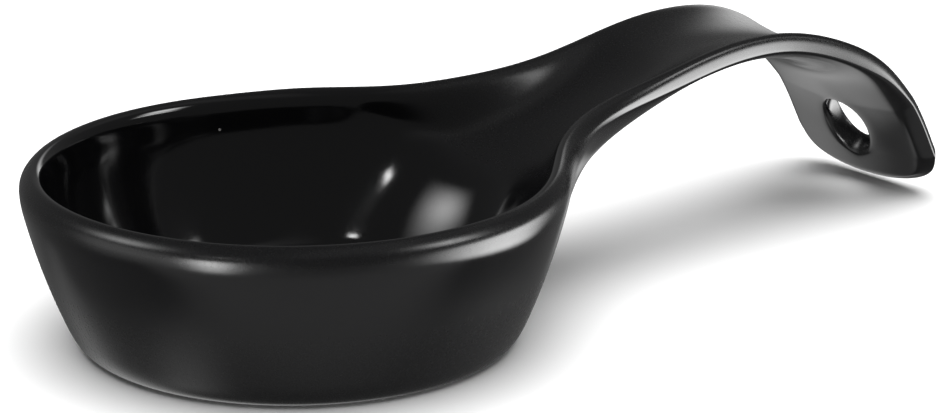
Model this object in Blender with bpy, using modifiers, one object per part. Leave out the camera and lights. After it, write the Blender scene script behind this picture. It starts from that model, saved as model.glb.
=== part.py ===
"""Handled ladle rest: one moulded dish whose handle flows out of the bowl, arches over and curls down.

Millimetres become metres through MM. +Z is up, the handle runs along +X and the dish is mirrored about y = 0.
The bowl stands on z = 0 and the tip of the handle comes down to the same level. All shapes are worked out about
the bowl's axis and then moved by BOWL_X, which puts the origin under the middle of the whole length.
"""
import math

import bmesh
import bpy
from mathutils import Vector
from mathutils.geometry import interpolate_bezier

MM = 0.001
BOWL_X = -57.17 * MM

# One wall thickness all over, measured through the middle of the sheet
THICKNESS = 5.0 * MM
EDGE_ROUND = 1.5 * MM
MERGE = 0.001 * MM

# Bowl, as the middle of its wall
FOOT_RADIUS = 44.3 * MM
RIM_RADIUS = 55.4 * MM
RIM_HEIGHT = 36.4 * MM
WALL_BULGE = 1.2 * MM
FLOOR_RINGS = (15.0 * MM, 29.0 * MM, 37.0 * MM, 41.5 * MM)
WALL_STEPS = (0.16, 0.37, 0.58, 0.79, 1.0)

# Columns of the cage round half of the bowl; the first ones run on into the handle
HALF_COLUMNS = 18
HANDLE_COLUMNS = 4

# Neck, where the rim turns out into the sides of the handle
NECK_HALF_WIDTH = 16.8 * MM
NECK_FILLET = 51.0 * MM
NECK_END = (98.8 * MM, 43.1 * MM)
NECK_SLOPE = math.radians(9.4)
NECK_ROWS = 7
CHUTE_FOOT_SLOPE = math.radians(68.0)
CHUTE_NECK_SLOPE = math.radians(22.0)
CHUTE_FOOT_PULL = 24.0 * MM
CHUTE_NECK_PULL = 36.0 * MM
CHUTE_SHAPE = 6.0
NECK_SHAPE = 2.0
RIM_SLOPE = math.radians(5.0)
RIM_LIFT = 1.1 * MM
RIM_LIFT_COLUMNS = 3
CHUTE_WALL_SHARE = 0.4

# Arch of the handle: (radius, angle turned) of each arc, then a straight end
ARCH_ARCS = (
    (110.0 * MM, math.radians(9.4)),
    (57.0 * MM, math.radians(27.5)),
    (49.0 * MM, math.radians(36.0)),
)
ARCH_ROWS_PER_ARC = (2, 3, 4)
STRAIGHT_END = 7.0 * MM
TIP_CAP = 9.3 * MM
TIP_HALF_WIDTH = 21.8 * MM
TIP_SQUARENESS = 2.35
NECK_DISH = 4.0 * MM
TIP_DISH = 2.2 * MM
TIP_SIDE_ANGLES = (math.radians(90.0), math.radians(66.0), math.radians(48.0))
CURVE_POINTS = 200
WIDENING_START = 20.0 * MM
WIDENING_END = 62.0 * MM

# Hanging hole, an oval across the thickness of the tip
HOLE_LENGTH = 16.6 * MM
HOLE_WIDTH = 11.8 * MM
HOLE_FROM_TIP = 17.2 * MM
HOLE_STEPS = 32

# Shallow recess under the bowl, which leaves a standing ring
RECESS_RADIUS = 36.5 * MM
RECESS_DEPTH = 0.8 * MM
RECESS_TAPER = 1.0 * MM
RECESS_STEPS = 64

SMOOTH_LEVEL = 1
DISH_NAME = "dish"
COLLECTION_NAME = "ladle_rest"
CUTTER_COLLECTION_NAME = "cutters"


def clear_scene():
    for found in list(bpy.data.objects):
        bpy.data.objects.remove(found, do_unlink=True)


def make_collection(name):
    collection = bpy.data.collections.new(name)
    bpy.context.scene.collection.children.link(collection)
    return collection


def move_to(obj, collection):
    for owner in list(obj.users_collection):
        owner.objects.unlink(obj)
    collection.objects.link(obj)


def black_glaze():
    material = bpy.data.materials.new("black_gloss")
    material.use_nodes = True
    shader = material.node_tree.nodes["Principled BSDF"]
    shader.inputs["Base Color"].default_value = (0.012, 0.012, 0.013, 1.0)
    shader.inputs["Roughness"].default_value = 0.12
    shader.inputs["IOR"].default_value = 1.5
    return material


def smooth(share):
    """0 to 1 with flat ends."""
    share = min(max(share, 0.0), 1.0)
    return share * share * (3.0 - 2.0 * share)


def bowl_wall(share):
    """Radius and height of the middle of the bowl's wall, from the foot at 0 to the rim at 1."""
    run = RIM_RADIUS - FOOT_RADIUS
    rise = RIM_HEIGHT - THICKNESS / 2
    length = math.hypot(run, rise)
    bulge = WALL_BULGE * 4.0 * share * (1.0 - share)
    radius = FOOT_RADIUS + run * share + bulge * rise / length
    height = THICKNESS / 2 + rise * share - bulge * run / length
    return radius, height


def chute_points(count):
    """The lengthwise middle line from the foot of the wall up into the neck."""
    start = Vector((FOOT_RADIUS, 0.0, THICKNESS / 2))
    end = dished((NECK_END[0], NECK_END[1], NECK_SLOPE, 0.0), 0.0, 0.0)
    foot_pull = Vector((math.cos(CHUTE_FOOT_SLOPE), 0.0, math.sin(CHUTE_FOOT_SLOPE))) * CHUTE_FOOT_PULL
    neck_pull = Vector((math.cos(CHUTE_NECK_SLOPE), 0.0, math.sin(CHUTE_NECK_SLOPE))) * CHUTE_NECK_PULL
    return interpolate_bezier(start, start + foot_pull, end - neck_pull, end, count)


def along(points, share):
    """The point at a share of the way along a dense row of points."""
    place = share * (len(points) - 1)
    low = min(int(place), len(points) - 2)
    return points[low].lerp(points[low + 1], place - low)


def rim_corner():
    angle = math.pi * HANDLE_COLUMNS / HALF_COLUMNS
    return Vector((RIM_RADIUS * math.cos(angle), RIM_RADIUS * math.sin(angle), RIM_HEIGHT + RIM_LIFT))


def neck_side_points(count):
    """The side of the neck: in plan an arc that leaves the rim and ends along X, in height a gentle rise."""
    corner = rim_corner()
    turn = math.acos(1.0 - (corner.y - NECK_HALF_WIDTH) / NECK_FILLET)
    low = Vector((corner.x, 0.0, corner.z))
    high = Vector((NECK_END[0], 0.0, NECK_END[1]))
    pull = (high.x - low.x) / 3.0
    low_pull = low + Vector((pull, 0.0, pull * math.tan(RIM_SLOPE)))
    high_pull = high - Vector((pull, 0.0, pull * math.tan(NECK_SLOPE)))
    points = interpolate_bezier(low, low_pull, high_pull, high, count)
    for point in points:
        sine = math.sin(turn) - (point.x - corner.x) / NECK_FILLET
        cosine = math.sqrt(1.0 - max(sine, 0.0) ** 2)
        point.y = NECK_HALF_WIDTH + NECK_FILLET * (1.0 - cosine)
    return points


def arch_stations():
    """(x, z, heading, distance) of each cross row of the arch, from the end of the neck to the tip's cap."""
    x, z = NECK_END
    heading = NECK_SLOPE
    distance = 0.0
    stations = []
    for (radius, turn), rows in zip(ARCH_ARCS, ARCH_ROWS_PER_ARC):
        step = turn / rows
        for _ in range(rows):
            x += radius * (math.sin(heading) - math.sin(heading - step))
            z += radius * (math.cos(heading - step) - math.cos(heading))
            heading -= step
            distance += radius * step
            stations.append((x, z, heading, distance))
    return stations


def straight_from(station, length):
    x, z, heading, distance = station
    return (x + length * math.cos(heading), z + length * math.sin(heading), heading, distance + length)


def half_width(distance):
    share = (distance - WIDENING_START) / (WIDENING_END - WIDENING_START)
    return NECK_HALF_WIDTH + (TIP_HALF_WIDTH - NECK_HALF_WIDTH) * smooth(share)


def dished(station, y, across):
    """A point of a cross row: the middle of the handle lies below its two sides."""
    x, z, heading, distance = station
    share = smooth((distance - WIDENING_START) / (WIDENING_END - WIDENING_START))
    sag = (NECK_DISH + (TIP_DISH - NECK_DISH) * share) * (1.0 - across ** 2)
    return Vector((x + sag * math.sin(heading), y, z - sag * math.cos(heading)))


def cap_rows(station):
    """Rows of the rounded tip: its side angles give the outline, and the rows between follow it."""
    rows = []
    power = 2.0 / TIP_SQUARENESS
    last = TIP_SIDE_ANGLES[-1]
    width = half_width(station[3])
    for angle in TIP_SIDE_ANGLES[1:]:
        side_y = width * math.sin(angle) ** power
        side_run = TIP_CAP * math.cos(angle) ** power
        last_run = TIP_CAP * math.cos(last) ** power
        row = []
        for column in range(HANDLE_COLUMNS + 1):
            share = column / HANDLE_COLUMNS
            across = (share * math.sin(last) ** power) ** TIP_SQUARENESS
            run = TIP_CAP * (1.0 - across) ** (1.0 / TIP_SQUARENESS) * side_run / last_run
            row.append(dished(straight_from(station, run), side_y * share, side_y * share / width))
        rows.append(row)
    return rows


def bowl_rows():
    """Rings of the half bowl. The columns near the handle lean out into the chute."""
    rows = [[Vector((r * math.cos(a), r * math.sin(a), THICKNESS / 2)) for a in column_angles()]
            for r in FLOOR_RINGS]
    chute = chute_points(CURVE_POINTS)
    rows.append([Vector((FOOT_RADIUS * math.cos(a), FOOT_RADIUS * math.sin(a), THICKNESS / 2))
                 for a in column_angles()])
    for step in WALL_STEPS:
        radius, height = bowl_wall(step)
        inner = along(chute, step * CHUTE_WALL_SHARE)
        row = []
        for column, angle in enumerate(column_angles()):
            blend = min(column / HANDLE_COLUMNS, 1.0) ** 2
            lift = RIM_LIFT * step * smooth(1.0 - (column - HANDLE_COLUMNS) / RIM_LIFT_COLUMNS)
            r = inner.x + (radius - inner.x) * blend
            z = inner.z + (height + lift - inner.z) * blend
            row.append(Vector((r * math.cos(angle), r * math.sin(angle), z)))
        rows.append(row)
    return rows


def column_angles():
    return [math.pi * column / HALF_COLUMNS for column in range(HALF_COLUMNS + 1)]


def handle_rows():
    """Cross rows of the half handle beyond the rim."""
    chute = chute_points(CURVE_POINTS)
    side = neck_side_points(CURVE_POINTS)
    rows = []
    for index in range(1, NECK_ROWS + 1):
        share = index / NECK_ROWS
        middle = along(chute, CHUTE_WALL_SHARE + (1.0 - CHUTE_WALL_SHARE) * share)
        edge = along(side, share)
        row = []
        for column in range(HANDLE_COLUMNS + 1):
            across = column / HANDLE_COLUMNS
            x = middle.x + (edge.x - middle.x) * across ** 2
            z = middle.z + (edge.z - middle.z) * across ** (CHUTE_SHAPE + (NECK_SHAPE - CHUTE_SHAPE) * share)
            row.append(Vector((x, edge.y * across, z)))
        rows.append(row)
    stations = arch_stations()
    stations.append(straight_from(stations[-1], STRAIGHT_END))
    for station in stations:
        width = half_width(station[3])
        shares = [column / HANDLE_COLUMNS for column in range(HANDLE_COLUMNS + 1)]
        rows.append([dished(station, width * share, share) for share in shares])
    return rows + cap_rows(stations[-1])


def half_cage():
    """The open middle sheet of the dish for y >= 0: floor, wall and handle in one net of quads."""
    mesh = bpy.data.meshes.new(DISH_NAME)
    net = bmesh.new()
    centre = net.verts.new((0.0, 0.0, THICKNESS / 2))
    rings = [[net.verts.new(p) for p in row] for row in bowl_rows()]
    for a, b in zip(rings[0], rings[0][1:]):
        net.faces.new((centre, a, b))
    add_quads(net, rings)
    strip = [rings[-1][:HANDLE_COLUMNS + 1]]
    strip += [[net.verts.new(p) for p in row] for row in handle_rows()]
    add_quads(net, strip)
    for vertex in net.verts:
        vertex.co.x += BOWL_X
        if abs(vertex.co.y) < MERGE:
            vertex.co.y = 0.0
    net.normal_update()
    net.to_mesh(mesh)
    net.free()
    return mesh


def add_quads(net, rows):
    for inner, outer in zip(rows, rows[1:]):
        for column in range(len(outer) - 1):
            net.faces.new((inner[column], outer[column], outer[column + 1], inner[column + 1]))


def hole_cutter(collection):
    """An oval bar that stands across the thickness of the tip."""
    station = straight_from(arch_stations()[-1], STRAIGHT_END + TIP_CAP - HOLE_FROM_TIP)
    x, z, heading, _ = station
    bpy.ops.mesh.primitive_cylinder_add(
        vertices=HOLE_STEPS, radius=0.5, depth=1.0, location=(BOWL_X + x, 0.0, z), rotation=(0.0, -heading, 0.0))
    cutter = bpy.context.object
    cutter.name = "hole_cutter"
    cutter.scale = (HOLE_LENGTH, HOLE_WIDTH, THICKNESS * 3)
    move_to(cutter, collection)
    return cutter


def recess_cutter(collection):
    """A shallow tapered disc under the bowl."""
    bpy.ops.mesh.primitive_cone_add(
        vertices=RECESS_STEPS, radius1=RECESS_RADIUS + RECESS_TAPER, radius2=RECESS_RADIUS,
        depth=RECESS_DEPTH * 2, location=(BOWL_X, 0.0, 0.0))
    cutter = bpy.context.object
    cutter.name = "recess_cutter"
    move_to(cutter, collection)
    return cutter


def add_modifiers(dish, cutters):
    mirror = dish.modifiers.new("other_half", "MIRROR")
    mirror.use_axis = (False, True, False)
    mirror.merge_threshold = MERGE
    wall = dish.modifiers.new("wall", "SOLIDIFY")
    wall.thickness = THICKNESS
    wall.offset = 0.0
    wall.use_even_offset = True
    edge = dish.modifiers.new("rounded_edge", "BEVEL")
    edge.width = EDGE_ROUND
    edge.segments = 1
    edge.limit_method = "ANGLE"
    edge.angle_limit = math.radians(60.0)
    soft = dish.modifiers.new("soft_form", "SUBSURF")
    soft.levels = SMOOTH_LEVEL
    soft.render_levels = SMOOTH_LEVEL
    for cutter in cutters:
        cut = dish.modifiers.new(cutter.name, "BOOLEAN")
        cut.operation = "DIFFERENCE"
        cut.solver = "EXACT"
        cut.object = cutter
        cutter.hide_render = True
        cutter.display_type = "WIRE"


def make_dish(collection, cutter_collection):
    mesh = half_cage()
    dish = bpy.data.objects.new(DISH_NAME, mesh)
    collection.objects.link(dish)
    mesh.materials.append(black_glaze())
    mesh.shade_smooth()
    add_modifiers(dish, (recess_cutter(cutter_collection), hole_cutter(cutter_collection)))
    return dish


clear_scene()
make_dish(make_collection(COLLECTION_NAME), make_collection(CUTTER_COLLECTION_NAME))
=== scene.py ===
# %% [markdown]
# # A black ladle rest, modelled and lit
#
# The object is a single moulding: a round bowl, a thick rounded rim, and a handle that flows out of
# the bowl's wall, arches over and curls down. Everything that gives it its look is in two things,
# the flow of its surface and the way a black gloss mirrors soft lamps. So the lesson spends its
# cells on those.
#
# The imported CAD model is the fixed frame. It says where the dish is and how large it is, and the
# visible dish made here stands exactly in its place.

import math

import bmesh
import bpy
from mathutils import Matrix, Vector
from mathutils.geometry import interpolate_bezier


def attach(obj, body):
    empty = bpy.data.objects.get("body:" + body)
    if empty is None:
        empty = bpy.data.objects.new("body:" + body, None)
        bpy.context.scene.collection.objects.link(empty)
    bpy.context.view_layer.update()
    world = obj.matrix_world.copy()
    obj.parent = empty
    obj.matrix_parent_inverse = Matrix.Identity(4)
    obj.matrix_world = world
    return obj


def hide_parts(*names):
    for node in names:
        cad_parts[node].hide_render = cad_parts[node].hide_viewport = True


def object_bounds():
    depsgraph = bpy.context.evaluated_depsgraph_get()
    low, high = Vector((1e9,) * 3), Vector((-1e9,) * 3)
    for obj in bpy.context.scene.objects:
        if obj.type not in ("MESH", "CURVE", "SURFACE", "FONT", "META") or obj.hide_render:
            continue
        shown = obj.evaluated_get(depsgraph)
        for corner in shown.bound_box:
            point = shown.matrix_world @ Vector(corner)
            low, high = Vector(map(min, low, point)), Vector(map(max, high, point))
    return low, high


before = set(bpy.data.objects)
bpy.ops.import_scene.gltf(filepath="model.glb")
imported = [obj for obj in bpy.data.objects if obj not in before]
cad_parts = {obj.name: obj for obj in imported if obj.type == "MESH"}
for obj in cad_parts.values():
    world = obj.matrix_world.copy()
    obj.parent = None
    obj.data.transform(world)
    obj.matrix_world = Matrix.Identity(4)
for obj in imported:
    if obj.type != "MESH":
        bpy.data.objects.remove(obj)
cad_low, cad_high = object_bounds()
MM = 0.001
print("CAD dish", [round(v / MM, 1) for v in cad_high - cad_low], "mm")

# %% [markdown]
# ## The middle sheet
#
# A moulded dish has the same wall all over, so its shape is really the shape of one thin sheet
# through the middle of that wall. It could be sculpted, or lofted from curves, but a coarse net of
# quads under a Subdivision Surface is the best way here: the few points of the net give one
# continuous flow from the floor to the tip of the handle, with no seam where the handle starts. The
# two sides match, so only the half on +Y is drawn.

# %% Sizes of the sheet
WALL = 5.0 * MM
MIDDLE = WALL / 2
BOWL_X = (cad_low.x + cad_high.x) / 2 - 57.17 * MM
FOOT_RADIUS = 44.3 * MM
RIM_RADIUS = 55.4 * MM
RIM_HEIGHT = 36.4 * MM
WALL_BULGE = 1.2 * MM
HALF_COLUMNS = 18
HANDLE_COLUMNS = 4
CURVE_POINTS = 200
print("bowl axis at x =", round(BOWL_X / MM, 2), "mm")


def smooth(share):
    """0 to 1 with flat ends."""
    share = min(max(share, 0.0), 1.0)
    return share * share * (3.0 - 2.0 * share)


def along(points, share):
    """The point at a share of the way along a dense row of points."""
    place = share * (len(points) - 1)
    low = min(int(place), len(points) - 2)
    return points[low].lerp(points[low + 1], place - low)


# %% [markdown]
# ## Neck and arch
#
# Seen from the side the handle is a chain of arcs, so it is drawn as one: each arc has a radius and
# an angle, and any distance along the chain gives a station, which is a place and a heading. Seen
# from above, the rim turns out into the sides of the handle on a fillet. The middle of the handle
# lies lower than its sides, which gives the long shallow trough that runs from the bowl to the tip.

# %% Side view of the handle
NECK_END = (98.8 * MM, 43.1 * MM)
NECK_SLOPE = math.radians(9.4)
ARCS = (
    (110.0 * MM, math.radians(9.4)),
    (57.0 * MM, math.radians(27.5)),
    (49.0 * MM, math.radians(36.0)),
)
ARCH_LENGTH = sum(radius * turn for radius, turn in ARCS)


def station(distance):
    """Place and heading at a distance beyond the end of the neck: the arcs, then a straight run."""
    x, z = NECK_END
    heading = NECK_SLOPE
    left = distance
    for radius, turn in ARCS:
        step = min(left / radius, turn)
        x += radius * (math.sin(heading) - math.sin(heading - step))
        z += radius * (math.cos(heading - step) - math.cos(heading))
        heading -= step
        left -= radius * step
        if step < turn:
            return x, z, heading
    return x + left * math.cos(heading), z + left * math.sin(heading), heading


last_heading = NECK_SLOPE - sum(turn for radius, turn in ARCS)
print("arch is", round(ARCH_LENGTH / MM, 1), "mm long")
print("last heading is", round(math.degrees(last_heading), 1), "degrees")

# %% Width and trough of the handle
NECK_HALF_WIDTH = 16.8 * MM
TIP_HALF_WIDTH = 21.8 * MM
NECK_TROUGH = 4.0 * MM
TIP_TROUGH = 2.2 * MM
WIDENING = (20.0 * MM, 62.0 * MM)


def widening(distance):
    return smooth((distance - WIDENING[0]) / (WIDENING[1] - WIDENING[0]))


def half_width(distance):
    return NECK_HALF_WIDTH + (TIP_HALF_WIDTH - NECK_HALF_WIDTH) * widening(distance)


def handle_point(distance, y):
    """A point of the sheet, y away from the middle line of the handle."""
    x, z, heading = station(distance)
    across = y / half_width(distance)
    trough = NECK_TROUGH + (TIP_TROUGH - NECK_TROUGH) * widening(distance)
    sag = trough * (1.0 - across ** 2)
    return Vector((x + sag * math.sin(heading), y, z - sag * math.cos(heading)))


print("handle is", round(2 * NECK_HALF_WIDTH / MM, 1), "mm wide at the neck,",
      round(2 * TIP_HALF_WIDTH / MM, 1), "mm at the tip")

# %% [markdown]
# ## Bowl
#
# The bowl is rings of points. Away from the handle each ring is a plain circle. Towards the handle
# the rings lean out, following a curve that leaves the foot steeply and reaches the neck almost
# level. That is what makes the wall pour into the handle like a chute instead of meeting it at a
# corner.

# %% The chute and the sides of the neck
CHUTE_FOOT = (math.radians(68.0), 24.0 * MM)
CHUTE_NECK = (math.radians(22.0), 36.0 * MM)
CHUTE_WALL_SHARE = 0.4
RIM_LIFT = 1.1 * MM
RIM_LIFT_COLUMNS = 3
RIM_SLOPE = math.radians(5.0)
NECK_FILLET = 51.0 * MM


def heading_vector(angle, length):
    return Vector((math.cos(angle), 0.0, math.sin(angle))) * length


def chute_curve():
    start = Vector((FOOT_RADIUS, 0.0, MIDDLE))
    end = handle_point(0.0, 0.0)
    start_pull = start + heading_vector(*CHUTE_FOOT)
    end_pull = end - heading_vector(*CHUTE_NECK)
    return interpolate_bezier(start, start_pull, end_pull, end, CURVE_POINTS)


def neck_side_curve():
    angle = math.pi * HANDLE_COLUMNS / HALF_COLUMNS
    corner_x = RIM_RADIUS * math.cos(angle)
    corner_y = RIM_RADIUS * math.sin(angle)
    turn = math.acos(1.0 - (corner_y - NECK_HALF_WIDTH) / NECK_FILLET)
    low = Vector((corner_x, 0.0, RIM_HEIGHT + RIM_LIFT))
    high = Vector((NECK_END[0], 0.0, NECK_END[1]))
    pull = (high.x - low.x) / 3.0
    low_pull = low + Vector((pull, 0.0, pull * math.tan(RIM_SLOPE)))
    high_pull = high - Vector((pull, 0.0, pull * math.tan(NECK_SLOPE)))
    points = interpolate_bezier(low, low_pull, high_pull, high, CURVE_POINTS)
    for point in points:
        sine = max(math.sin(turn) - (point.x - corner_x) / NECK_FILLET, 0.0)
        point.y = NECK_HALF_WIDTH + NECK_FILLET * (1.0 - math.sqrt(1.0 - sine ** 2))
    return points


chute = chute_curve()
neck_side = neck_side_curve()
print("chute rises from", round(chute[0].z / MM, 1), "to", round(chute[-1].z / MM, 1), "mm")

# %% Rings of the bowl
FLOOR_RINGS = (15.0 * MM, 29.0 * MM, 37.0 * MM, 41.5 * MM, FOOT_RADIUS)
WALL_STEPS = (0.16, 0.37, 0.58, 0.79, 1.0)
COLUMN_ANGLES = [math.pi * column / HALF_COLUMNS for column in range(HALF_COLUMNS + 1)]


def wall_line(share):
    """Radius and height of the plain wall, which swells a little between foot and rim."""
    run = RIM_RADIUS - FOOT_RADIUS
    rise = RIM_HEIGHT - MIDDLE
    swell = WALL_BULGE * 4.0 * share * (1.0 - share) / math.hypot(run, rise)
    return FOOT_RADIUS + run * share + swell * rise, MIDDLE + rise * share - swell * run


def wall_ring(step):
    radius, height = wall_line(step)
    lean = along(chute, step * CHUTE_WALL_SHARE)
    ring = []
    for column, angle in enumerate(COLUMN_ANGLES):
        blend = min(column / HANDLE_COLUMNS, 1.0) ** 2
        lift = RIM_LIFT * step * smooth(1.0 - (column - HANDLE_COLUMNS) / RIM_LIFT_COLUMNS)
        r = lean.x + (radius - lean.x) * blend
        z = lean.z + (height + lift - lean.z) * blend
        ring.append(Vector((r * math.cos(angle), r * math.sin(angle), z)))
    return ring


rings = [
    [Vector((radius * math.cos(angle), radius * math.sin(angle), MIDDLE))
     for angle in COLUMN_ANGLES]
    for radius in FLOOR_RINGS
]
rings += [wall_ring(step) for step in WALL_STEPS]
print(len(rings), "rings of", len(COLUMN_ANGLES), "points")

# %% [markdown]
# ## Handle rows and the hanging hole
#
# The handle is cross rows of points. A hole cut afterwards with a Boolean would leave a sharp,
# ragged edge, and a moulded hole has a soft one. So the hole is part of the net: where it is, each
# row starts at the hole's side instead of at the middle line. The row before it and the row after
# it close it again.

# %% Rows of the neck
NECK_ROWS = 7
CHUTE_SHAPE = 6.0
NECK_SHAPE = 2.0


def neck_row(share):
    middle = along(chute, CHUTE_WALL_SHARE + (1.0 - CHUTE_WALL_SHARE) * share)
    edge = along(neck_side, share)
    shape = CHUTE_SHAPE + (NECK_SHAPE - CHUTE_SHAPE) * share
    row = []
    for column in range(HANDLE_COLUMNS + 1):
        across = column / HANDLE_COLUMNS
        x = middle.x + (edge.x - middle.x) * across ** 2
        z = middle.z + (edge.z - middle.z) * across ** shape
        row.append(Vector((x, edge.y * across, z)))
    return row


rows = [neck_row(index / NECK_ROWS) for index in range(1, NECK_ROWS + 1)]
row_headings = [NECK_SLOPE * index / NECK_ROWS for index in range(1, NECK_ROWS + 1)]
print(len(rows), "rows of the neck")

# %% Rows of the arch and of the hole
STRAIGHT_END = 7.0 * MM
TIP_CAP = 9.3 * MM
HOLE_FROM_TIP = 17.2 * MM
HOLE_HALF_LENGTH = 8.4 * MM
HOLE_HALF_WIDTH = 6.0 * MM
HOLE_ANGLES = (0.0, 30.0, 60.0, 90.0, 120.0, 150.0, 180.0)
ARCH_ROWS = (8.6, 17.2, 26.3, 35.4, 44.6, 51.5, 58.2)
TIP_START = ARCH_LENGTH + STRAIGHT_END
HOLE_MIDDLE = TIP_START + TIP_CAP - HOLE_FROM_TIP


def row_from(distance, inner_y, inner_distance):
    """A row from the hole's side, or from the middle line, out to the side of the handle."""
    width = half_width(distance)
    row = []
    for column in range(HANDLE_COLUMNS + 1):
        share = column / HANDLE_COLUMNS
        place = inner_distance + (distance - inner_distance) * smooth(share * 2.0)
        row.append(handle_point(place, inner_y + (width - inner_y) * share))
    return row


rows += [row_from(d * MM, 0.0, d * MM) for d in ARCH_ROWS]
row_headings += [station(d * MM)[2] for d in ARCH_ROWS]
for angle in HOLE_ANGLES:
    turn = math.radians(angle)
    edge_distance = HOLE_MIDDLE - HOLE_HALF_LENGTH * math.cos(turn)
    edge_y = HOLE_HALF_WIDTH * math.sin(turn)
    rows.append(row_from(min(edge_distance, TIP_START), edge_y, edge_distance))
    row_headings.append(station(edge_distance)[2])
hole_size = (2 * HOLE_HALF_LENGTH / MM, 2 * HOLE_HALF_WIDTH / MM)
print("hole", round(hole_size[0], 1), "x", round(hole_size[1], 1), "mm")

# %% Rows of the rounded tip
TIP_SQUARENESS = 2.35
TIP_ANGLES = (math.radians(66.0), math.radians(48.0))


def tip_row(angle):
    """The outline of the tip is a squarish oval; the rows inside it follow the same curve."""
    power = 2.0 / TIP_SQUARENESS
    last = TIP_ANGLES[-1]
    width = half_width(TIP_START)
    side_y = width * math.sin(angle) ** power
    reach = (math.cos(angle) / math.cos(last)) ** power
    row = []
    for column in range(HANDLE_COLUMNS + 1):
        share = column / HANDLE_COLUMNS
        across = (share * math.sin(last) ** power) ** TIP_SQUARENESS
        run = TIP_CAP * (1.0 - across) ** (1.0 / TIP_SQUARENESS) * reach
        row.append(handle_point(TIP_START + run, side_y * share))
    return row


rows += [tip_row(angle) for angle in TIP_ANGLES]
row_headings += [station(TIP_START)[2] for angle in TIP_ANGLES]
print(len(rows), "rows from the rim to the tip")

# %% Join the points into a net of quads
MERGE = 0.001 * MM


def sew(net, first, second):
    """Quads between two rows of points."""
    for column in range(len(second) - 1):
        net.faces.new((first[column], second[column], second[column + 1], first[column + 1]))


def half_sheet():
    net = bmesh.new()
    lean = net.verts.layers.float.new("lean")
    centre = net.verts.new((0.0, 0.0, MIDDLE))
    loops = [[net.verts.new(p) for p in ring] for ring in rings]
    for a, b in zip(loops[0], loops[0][1:]):
        net.faces.new((centre, a, b))
    for first, second in zip(loops, loops[1:]):
        sew(net, first, second)
    strip = [loops[-1][:HANDLE_COLUMNS + 1]] + [[net.verts.new(p) for p in row] for row in rows]
    for first, second in zip(strip, strip[1:]):
        sew(net, first, second)
    for row, heading in zip(strip[1:], row_headings):
        for vertex in row:
            vertex[lean] = heading
    for vertex in net.verts:
        vertex.co.x += BOWL_X
        vertex.co.y = 0.0 if abs(vertex.co.y) < MERGE else vertex.co.y
    net.normal_update()
    mesh = bpy.data.meshes.new("moulded_dish")
    net.to_mesh(mesh)
    net.free()
    return mesh


dish = bpy.data.objects.new("moulded_dish", half_sheet())
bpy.context.scene.collection.objects.link(dish)
print("half sheet:", len(dish.data.polygons), "faces")

# %% [markdown]
# ## Thickness and edges
#
# Solidify would give the wall its thickness, but it leaves every edge square to the sheet. A mould
# opens straight up, so the real dish has an upright band all the way round its outside: round the
# rim it trims the leaning wall, and along the handle it is the side of the strip. That band catches
# the big lamp and is the brightest line on the dish, so its shape matters. Here the two skins are
# made by moving the sheet half a wall up and half a wall down along its normals, and the band is a
# set of loops laid round the open edge: a soft inner corner, an upper corner, the flat band and a
# lower corner. The same loops are softer at the rim, crisper along the handle and rounder at the
# tip. In the hole they are slanted a little, as a pin that leans away from square would leave it.

# %% Mirror the half
def bake(obj):
    """Replaces the object's mesh by what its modifiers make of it."""
    depsgraph = bpy.context.evaluated_depsgraph_get()
    finished = bpy.data.meshes.new_from_object(obj.evaluated_get(depsgraph))
    obj.modifiers.clear()
    obj.data = finished


mirror = dish.modifiers.new("other_half", "MIRROR")
mirror.use_axis = (False, True, False)
mirror.merge_threshold = MERGE
bake(dish)
print("whole sheet:", len(dish.data.polygons), "faces")

# %% Edge profiles
RIM_OVERHANG = 1.5 * MM
RIM_TOP_DROP = 0.5 * MM
RIM_INSET = 0.9 * MM
HANDLE_INSET = 1.5 * MM
LARGEST_CUT = 0.48
HANDLE_TOP_RISE = -0.2 * MM
STEEP = math.radians(73.0)
SHALLOW = math.radians(27.0)
INNER_ROUND = (0.4 * MM, 1.5 * MM)
UPPER_ROUND = (1.1 * MM, 1.9 * MM)
LOWER_ROUND = (0.5 * MM, 0.9 * MM)
TIP_ROUND = 1.6 * MM
TIP_LEAN = math.radians(-28.0)
TIP_LEAN_RANGE = math.radians(25.0)
HOLE_ROUND = 0.8 * MM
HOLE_SKEW = 1.2 * MM


def blend(pair, share):
    return pair[0] + (pair[1] - pair[0]) * share


def corner(before, point, after, size):
    """Two points that cut a corner back by a size, or by less where a side is short."""
    sides = (before - point, after - point)
    return [point + side.normalized() * min(size, side.length * LARGEST_CUT) for side in sides]


def hole_profile(out, up, uphill):
    top = up * MIDDLE + uphill * HOLE_SKEW
    bottom = -up * MIDDLE - uphill * HOLE_SKEW
    return (corner(top - out, top, bottom, HOLE_ROUND)
            + corner(top, bottom, bottom - out, HOLE_ROUND))


def band_profile(out, up, section_up, lean):
    """Points round the open edge, from the upper skin to the lower one, about the sheet's edge."""
    level = (out - section_up * out.dot(section_up)).normalized()
    tilt = math.atan2(out.dot(section_up), out.dot(level))
    share = smooth((tilt - SHALLOW) / (STEEP - SHALLOW))
    reach = RIM_OVERHANG * share
    tip = TIP_ROUND * smooth((TIP_LEAN - lean) / TIP_LEAN_RANGE)
    inner = up * MIDDLE - level * RIM_INSET * share - out * (HANDLE_INSET + tip) * (1.0 - share)
    height = MIDDLE * math.cos(tilt) + blend((HANDLE_TOP_RISE, -RIM_TOP_DROP), share)
    upper = level * reach + section_up * height
    drop = -MIDDLE * math.cos(tilt) + (reach - MIDDLE * math.sin(tilt)) * math.tan(tilt)
    lower = level * reach + section_up * drop
    return (corner(inner - out, inner, upper, blend(INNER_ROUND, share))
            + corner(inner, upper, lower, blend(UPPER_ROUND, share) + tip)
            + corner(upper, lower, lower - out, blend(LOWER_ROUND, share) + tip))


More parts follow.
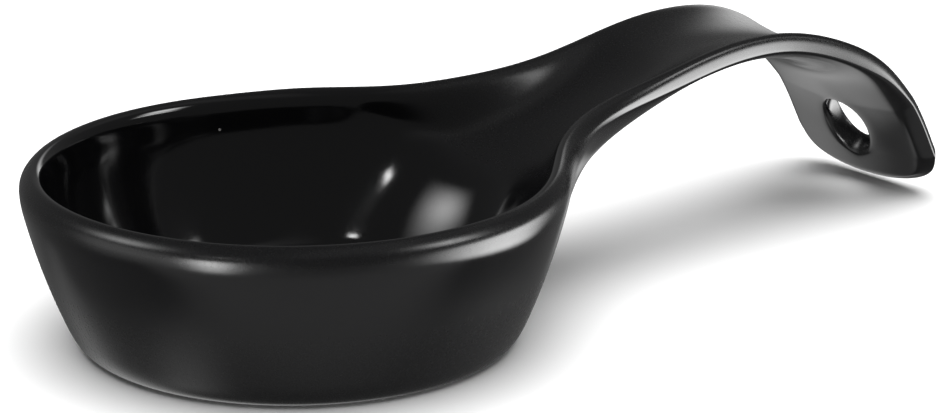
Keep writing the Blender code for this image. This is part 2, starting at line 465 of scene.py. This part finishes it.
band_height = (2.0 * MIDDLE * math.cos(STEEP) - RIM_TOP_DROP
               - (RIM_OVERHANG - MIDDLE * math.sin(STEEP)) * math.tan(STEEP))
print("rim band is", round(band_height / MM, 1), "mm high")

# %% Skins and bands
hole_x, hole_z, hole_heading = station(HOLE_MIDDLE)
hole_centre = Vector((BOWL_X + hole_x, 0.0, hole_z))
HOLE_REACH = 13.0 * MM


def edge_neighbours(vertex):
    return [edge.other_vert(vertex) for edge in vertex.link_edges if edge.is_boundary]


def outward(vertex):
    """The direction in the sheet that leads off its open edge."""
    first, second = edge_neighbours(vertex)
    tangent = (second.co - first.co).normalized()
    out = tangent.cross(vertex.normal).normalized()
    centres = [face.calc_center_median() for face in vertex.link_faces]
    inside = sum(centres, Vector()) / len(centres)
    return -out if out.dot(inside - vertex.co) > 0.0 else out


def profile_of(vertex, lean):
    out = outward(vertex)
    if (vertex.co - hole_centre).length < HOLE_REACH and abs(vertex.co.y) < HOLE_REACH / 2:
        uphill = Vector((-math.cos(hole_heading), 0.0, -math.sin(hole_heading)))
        return hole_profile(out, vertex.normal, uphill)
    section_up = Vector((-math.sin(vertex[lean]), 0.0, math.cos(vertex[lean])))
    return band_profile(out, vertex.normal, section_up, vertex[lean])


def thicken(sheet):
    """Two skins half a wall from the sheet, joined by the loops round its open edges."""
    solid = bmesh.new()
    lean = sheet.verts.layers.float["lean"]
    skins = {}
    loops = {}
    for vertex in sheet.verts:
        if vertex.is_boundary:
            profile = profile_of(vertex, lean)
            loops[vertex] = [solid.verts.new(vertex.co + offset) for offset in profile]
            skins[vertex] = (loops[vertex][0], loops[vertex][-1])
        else:
            half_wall = vertex.normal * MIDDLE * vertex.calc_shell_factor()
            upper = solid.verts.new(vertex.co + half_wall)
            skins[vertex] = (upper, solid.verts.new(vertex.co - half_wall))
    for face in sheet.faces:
        solid.faces.new([skins[vertex][0] for vertex in face.verts])
        solid.faces.new([skins[vertex][1] for vertex in reversed(face.verts)])
    for edge in sheet.edges:
        if edge.is_boundary:
            loop = next(iter(edge.link_loops))
            here, there = loop.vert, loop.link_loop_next.vert
            for a, b in zip(range(len(loops[here]) - 1), range(1, len(loops[here]))):
                solid.faces.new((loops[there][a], loops[here][a], loops[here][b], loops[there][b]))
    return solid


sheet = bmesh.new()
sheet.from_mesh(dish.data)
sheet.normal_update()
solid = thicken(sheet)
bmesh.ops.recalc_face_normals(solid, faces=solid.faces)
solid.to_mesh(dish.data)
open_edges = sum(1 for edge in solid.edges if not edge.is_manifold)
print("solid cage:", len(solid.faces), "faces,", open_edges, "open edges")
solid.free()
sheet.free()

# %% Subdivide
SMOOTH_LEVEL = 3
soft = dish.modifiers.new("soft_form", "SUBSURF")
soft.levels = SMOOTH_LEVEL
soft.render_levels = SMOOTH_LEVEL
bake(dish)
print("smooth dish:", len(dish.data.vertices), "points")

# %% [markdown]
# ## Foot
#
# The dish stands on a narrow flat ring, and inside the ring the underside is slightly hollow so
# that it doesn't rock. A mould makes both in one go. Here the hollow is pressed into the finished
# mesh: points of the underside inside the ring are raised, with a short slope so that its edge
# stays soft.

# %% Press the hollow into the underside
HOLLOW_RADIUS = 36.9 * MM
HOLLOW_SLOPE = 1.6 * MM
HOLLOW_DEPTH = 0.8 * MM
pressed = 0
for vertex in dish.data.vertices:
    radius = math.hypot(vertex.co.x - BOWL_X, vertex.co.y)
    if vertex.co.z < MIDDLE and radius < HOLLOW_RADIUS:
        vertex.co.z += HOLLOW_DEPTH * smooth((HOLLOW_RADIUS - radius) / HOLLOW_SLOPE)
        pressed += 1
dish.data.shade_smooth()
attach(dish, "root")
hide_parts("dish")
print("pressed", pressed, "points of the underside")

# %% [markdown]
# ## Camera
#
# The dish is seen from its bowl end, a little to one side and from about eighteen degrees above the
# table, through a long lens from about 85 centimetres away. A long lens keeps the bowl and the
# handle in proportion. The place and the lens were found by fitting the outline of the dish.

# %% Camera
CAMERA_PLACE = Vector((-552.07 * MM, -639.1 * MM, 285.0 * MM))
CAMERA_TARGET = Vector((-27.82 * MM, -22.08 * MM, 26.82 * MM))
CAMERA_LENS = 156.3
camera_data = bpy.data.cameras.new("camera")
camera_data.lens = CAMERA_LENS
camera_data.sensor_width = 36.0
camera = bpy.data.objects.new("camera", camera_data)
camera.location = CAMERA_PLACE
camera.rotation_euler = (CAMERA_TARGET - CAMERA_PLACE).to_track_quat("-Z", "Y").to_euler()
bpy.context.scene.collection.objects.link(camera)
bpy.context.scene.camera = camera
print("camera", round((CAMERA_TARGET - CAMERA_PLACE).length, 2), "m from the dish")

# %% [markdown]
# ## Black gloss
#
# The dish is a black melamine moulding. Almost no light comes back out of the black itself, so what
# the eye reads is the mirror of the room in the surface, and the finish of that surface matters
# most. The half of the mould that forms the inside of the bowl and the underside of the handle is
# polished. The half that forms the outside wall, the rim and the back of the handle is a little
# satin, which blurs the same lamps there into soft bands. On top of the two finishes come slight
# effects: a long, shallow waviness and a fine grain from the moulding, fine round scratches on the
# bowl's floor from spoons, a duller, rubbed standing ring, and a few specks of dust. All of it is
# worked out from the place and the direction of the surface, so it sits on the dish itself and
# looks the same from every side.

# %% Node helpers
def helpers(tree):
    """Two short functions that add a node to a tree and feed its inputs with values or outputs."""
    def node(kind, **settings):
        made = tree.nodes.new(kind)
        for setting, value in settings.items():
            setattr(made, setting, value)
        return made

    def feed(made, **inputs):
        for key, value in inputs.items():
            index = int(key[1:])
            if isinstance(value, bpy.types.NodeSocket):
                tree.links.new(value, made.inputs[index])
            else:
                made.inputs[index].default_value = value
        return made.outputs[0]

    def math_of(operation, first, second=0.0):
        return feed(node("ShaderNodeMath", operation=operation), _0=first, _1=second)

    def fade(value, low, high):
        """0 below low, 1 above high and smooth between; low may be the larger of the two."""
        ramp = node("ShaderNodeMapRange", interpolation_type="SMOOTHSTEP")
        return feed(ramp, _0=value, _1=low, _2=high)

    return node, feed, math_of, fade


# %% Gloss material
BLACK = (0.0016, 0.0016, 0.0018, 1.0)
DUST = (0.16, 0.155, 0.15, 1.0)
SATIN = 0.27
POLISHED = 0.08
POLISHED_RADIUS = (57.0 * MM, 52.0 * MM)
FLOOR_RADIUS = (44.0 * MM, 38.0 * MM)
RUBBED_HEIGHT = (0.8 * MM, 0.2 * MM)
WAVES_PER_METRE = 45.0
GRAIN_PER_METRE = 900.0
DUST_CELLS_PER_METRE = 75.0
DUST_CELLS_CHOSEN = (0.86, 0.88)
DUST_SIZE = (0.032, 0.016)
DUST_AND_RUB_ROUGHNESS = 0.35
RUB_TINT = 0.12
INWARD_FACING = (0.35, -0.05)
DOWNWARD_FACING = (-0.02, -0.2)
FOOT_FACING = (-0.6, -0.95)
SCRATCH_TURNS = 2.2
SCRATCHES_PER_METRE = 1900.0
SCRATCH_HEIGHT_SCALE = 60.0
SCRATCH_SHARE = (0.6, 0.72)
SCRATCH_ROUGHNESS = 0.12
SCRATCH_DEPTH = 0.003 * MM
WAVE_HEIGHT = 0.16 * MM
GRAIN_HEIGHT = 0.0028 * MM
GRAIN_ROUGHNESS = 0.06


def gloss_material():
    material = bpy.data.materials.new("black_gloss_moulding")
    material.use_nodes = True
    node, feed, math_of, fade = helpers(material.node_tree)
    place = node("ShaderNodeTexCoord")
    spot = feed(node("ShaderNodeSeparateXYZ"), _0=place.outputs["Object"]).node
    facing = feed(node("ShaderNodeSeparateXYZ"), _0=place.outputs["Normal"]).node
    x, y, z = spot.outputs
    off_axis = math_of("SUBTRACT", x, BOWL_X)
    squares = (math_of("MULTIPLY", off_axis, off_axis), math_of("MULTIPLY", y, y))
    radius = math_of("SQRT", math_of("ADD", *squares))
    turned = math_of("ADD", math_of("MULTIPLY", off_axis, facing.outputs[0]),
                     math_of("MULTIPLY", y, facing.outputs[1]))
    outward_share = math_of("DIVIDE", turned, radius)
    in_bowl = math_of("MULTIPLY", fade(radius, *POLISHED_RADIUS),
                      fade(outward_share, *INWARD_FACING))
    under_handle = math_of("MULTIPLY", fade(radius, POLISHED_RADIUS[1], POLISHED_RADIUS[0]),
                           fade(facing.outputs[2], *DOWNWARD_FACING))
    polished = math_of("MAXIMUM", in_bowl, under_handle)

    waves = node("ShaderNodeTexNoise")
    feed(waves, _0=place.outputs["Object"], _2=WAVES_PER_METRE, _3=1.0)
    grain = node("ShaderNodeTexNoise")
    feed(grain, _0=place.outputs["Object"], _2=GRAIN_PER_METRE, _3=2.0)

    angle = math_of("ARCTAN2", y, off_axis)
    polar = feed(node("ShaderNodeCombineXYZ"), _0=math_of("MULTIPLY", angle, SCRATCH_TURNS),
                 _1=math_of("MULTIPLY", radius, SCRATCHES_PER_METRE),
                 _2=math_of("MULTIPLY", z, SCRATCH_HEIGHT_SCALE))
    streaks = node("ShaderNodeTexNoise")
    feed(streaks, _0=polar, _2=1.0, _3=2.0)
    on_floor = math_of("MULTIPLY", fade(radius, *FLOOR_RADIUS), in_bowl)
    scratches = math_of("MULTIPLY", fade(streaks.outputs[0], *SCRATCH_SHARE), on_floor)
    rubbed = math_of("MULTIPLY", fade(z, *RUBBED_HEIGHT), fade(facing.outputs[2], *FOOT_FACING))

    cells = node("ShaderNodeTexVoronoi")
    feed(cells, _0=place.outputs["Object"], _2=DUST_CELLS_PER_METRE)
    chosen = fade(feed(node("ShaderNodeSeparateColor"), _0=cells.outputs["Color"]),
                  *DUST_CELLS_CHOSEN)
    specks = math_of("MULTIPLY", fade(cells.outputs["Distance"], *DUST_SIZE), chosen)

    finish = math_of("ADD", SATIN, math_of("MULTIPLY", polished, POLISHED - SATIN))
    uneven = math_of("MULTIPLY", math_of("SUBTRACT", grain.outputs[0], 0.5), GRAIN_ROUGHNESS)
    finish = math_of("ADD", finish, uneven)
    finish = math_of("ADD", finish, math_of("MULTIPLY", scratches, SCRATCH_ROUGHNESS))
    dull = math_of("MULTIPLY", math_of("MAXIMUM", rubbed, specks), DUST_AND_RUB_ROUGHNESS)
    finish = math_of("ADD", finish, dull)

    relief = math_of("MULTIPLY", waves.outputs[0], WAVE_HEIGHT)
    relief = math_of("ADD", relief, math_of("MULTIPLY", grain.outputs[0], GRAIN_HEIGHT))
    relief = math_of("SUBTRACT", relief, math_of("MULTIPLY", scratches, SCRATCH_DEPTH))
    bump = node("ShaderNodeBump")
    bump.inputs["Distance"].default_value = 1.0
    bump.inputs["Strength"].default_value = 1.0
    material.node_tree.links.new(relief, bump.inputs["Height"])

    tint = node("ShaderNodeMix", data_type="RGBA")
    greyed = math_of("MAXIMUM", specks, math_of("MULTIPLY", rubbed, RUB_TINT))
    material.node_tree.links.new(greyed, tint.inputs[0])
    tint.inputs[6].default_value = BLACK
    tint.inputs[7].default_value = DUST
    shader = material.node_tree.nodes["Principled BSDF"]
    shader.inputs["IOR"].default_value = 1.5
    material.node_tree.links.new(tint.outputs[2], shader.inputs["Base Color"])
    material.node_tree.links.new(finish, shader.inputs["Roughness"])
    material.node_tree.links.new(bump.outputs[0], shader.inputs["Normal"])
    return material


dish.data.materials.clear()
dish.data.materials.append(gloss_material())
print("gloss material:", len(dish.data.materials[0].node_tree.nodes), "nodes")

# %% [markdown]
# ## Floor
#
# The dish stands on a sheet of white paper that reaches far past the picture. Black gloss mirrors
# whatever is round it, and a white floor that filled the lower half of every reflection would turn
# the black wall grey. So the paper isn't seen in reflections; broad, dim lamps stand in for it
# there.

# %% Stage
FLOOR_HALF_WIDTH = 6.0
PAPER_WHITE = (0.86, 0.86, 0.86, 1.0)
floor_mesh = bpy.data.meshes.new("floor")
net = bmesh.new()
bmesh.ops.create_grid(net, x_segments=1, y_segments=1, size=FLOOR_HALF_WIDTH)
net.to_mesh(floor_mesh)
net.free()
floor = bpy.data.objects.new("floor", floor_mesh)
bpy.context.scene.collection.objects.link(floor)
paper = bpy.data.materials.new("white_paper")
paper.use_nodes = True
paper_shader = paper.node_tree.nodes["Principled BSDF"]
paper_shader.inputs["Base Color"].default_value = PAPER_WHITE
paper_shader.inputs["Roughness"].default_value = 0.9
paper_shader.inputs["Specular IOR Level"].default_value = 0.0
floor_mesh.materials.append(paper)
floor.visible_glossy = False
floor.visible_shadow = False
print("floor", round(floor.dimensions.x, 1), "m wide")

# %% [markdown]
# ## Softboxes
#
# On black gloss the lamps are the picture: each bright band on the dish is the mirror image of one
# softbox. They are placed by azimuth and elevation as the dish sees them, so a band can be moved
# along the rim or the handle by turning its lamp. Each lamp fades towards its edges, like cloth
# over a frame. The softboxes light only the dish. One lamp overhead, which the gloss doesn't
# mirror, lights the paper evenly and leaves a soft shadow under the bowl.

# %% Softbox
LAMP_DISTANCE = 2.5
LAMP_AIM = Vector((-20.0 * MM, 0.0, 25.0 * MM))
lit_by_softboxes = bpy.data.collections.new("lit_by_softboxes")
lit_by_softboxes.objects.link(dish)


def softbox(name, azimuth, elevation, width, height, radiance, soft_edges, glossy=True):
    """A softbox as the dish sees it.

    Azimuth, elevation, width and height are in degrees; azimuth 0 is -Y and 90 is +X. The soft
    edges are the shares of the width and of the height over which the lamp fades.
    """
    turn = math.radians(azimuth)
    tilt = math.radians(elevation)
    level = math.cos(tilt)
    away = Vector((math.sin(turn) * level, -math.cos(turn) * level, math.sin(tilt)))
    light = bpy.data.lights.new(name, "AREA")
    light.shape = "RECTANGLE"
    light.size = 2.0 * LAMP_DISTANCE * math.tan(math.radians(width / 2))
    light.size_y = 2.0 * LAMP_DISTANCE * math.tan(math.radians(height / 2))
    light.energy = radiance * 4.0 * light.size * light.size_y
    light.use_nodes = True
    nodes = light.node_tree.nodes
    links = light.node_tree.links
    place = nodes.new("ShaderNodeNewGeometry")
    split = nodes.new("ShaderNodeSeparateXYZ")
    links.new(place.outputs["Parametric"], split.inputs[0])
    masks = []
    for axis, soft_edge in enumerate(soft_edges):
        near = nodes.new("ShaderNodeMath")
        near.operation = "PINGPONG"
        near.inputs[1].default_value = 0.5
        links.new(split.outputs[axis], near.inputs[0])
        fade = nodes.new("ShaderNodeMapRange")
        fade.interpolation_type = "SMOOTHSTEP"
        fade.inputs["From Max"].default_value = soft_edge
        links.new(near.outputs[0], fade.inputs["Value"])
        masks.append(fade)
    both = nodes.new("ShaderNodeMath")
    both.operation = "MULTIPLY"
    links.new(masks[0].outputs["Result"], both.inputs[0])
    links.new(masks[1].outputs["Result"], both.inputs[1])
    links.new(both.outputs[0], nodes["Emission"].inputs["Strength"])
    lamp = bpy.data.objects.new(name, light)
    lamp.location = LAMP_AIM + away * LAMP_DISTANCE
    lamp.rotation_euler = away.to_track_quat("Z", "Y").to_euler()
    lamp.visible_glossy = glossy
    if glossy:
        lamp.light_linking.receiver_collection = lit_by_softboxes
    bpy.context.scene.collection.objects.link(lamp)


# %% Lamps
softbox("strip_left", -73.0, -11.0, 17.0, 36.0, 16.0, (0.4, 0.25))
softbox("spot_left", -71.0, 29.0, 7.0, 4.0, 17.0, (0.4, 0.4))
softbox("fill_left", -112.0, -2.0, 60.0, 50.0, 0.8, (0.4, 0.3))
softbox("box_right", 51.0, -15.5, 76.0, 35.0, 9.0, (0.5, 0.2))
softbox("bar_right", 33.0, 36.0, 26.0, 20.0, 9.0, (0.4, 0.4))
softbox("bar_low_right", 33.0, 26.5, 28.0, 5.0, 10.0, (0.4, 0.4))
softbox("box_back_left", -120.0, 35.0, 40.0, 28.0, 5.5, (0.5, 0.5))
softbox("band_back_right", 126.0, 3.0, 16.0, 60.0, 1.3, (0.5, 0.4))
softbox("glow_low_left", -120.0, -58.0, 44.0, 24.0, 0.7, (0.5, 0.5))
softbox("glow_low_far", 165.0, -48.0, 56.0, 44.0, 0.7, (0.3, 0.4))
softbox("glow_table", -30.0, -45.0, 150.0, 60.0, 0.25, (0.4, 0.4))
softbox("ceiling_sheen", 30.0, 68.0, 120.0, 40.0, 0.12, (0.4, 0.4))
softbox("ceiling", 0.0, 90.0, 90.0, 90.0, 3.6, (0.3, 0.3), False)

# %% Room light
studio = bpy.data.worlds.new("studio")
studio.use_nodes = True
room = studio.node_tree.nodes["Background"]
room.inputs["Color"].default_value = (1.0, 1.0, 1.0, 1.0)
room.inputs["Strength"].default_value = 0.15
bpy.context.scene.world = studio
bpy.context.scene.view_settings.view_transform = "Standard"
print(len(bpy.data.lights), "lamps")
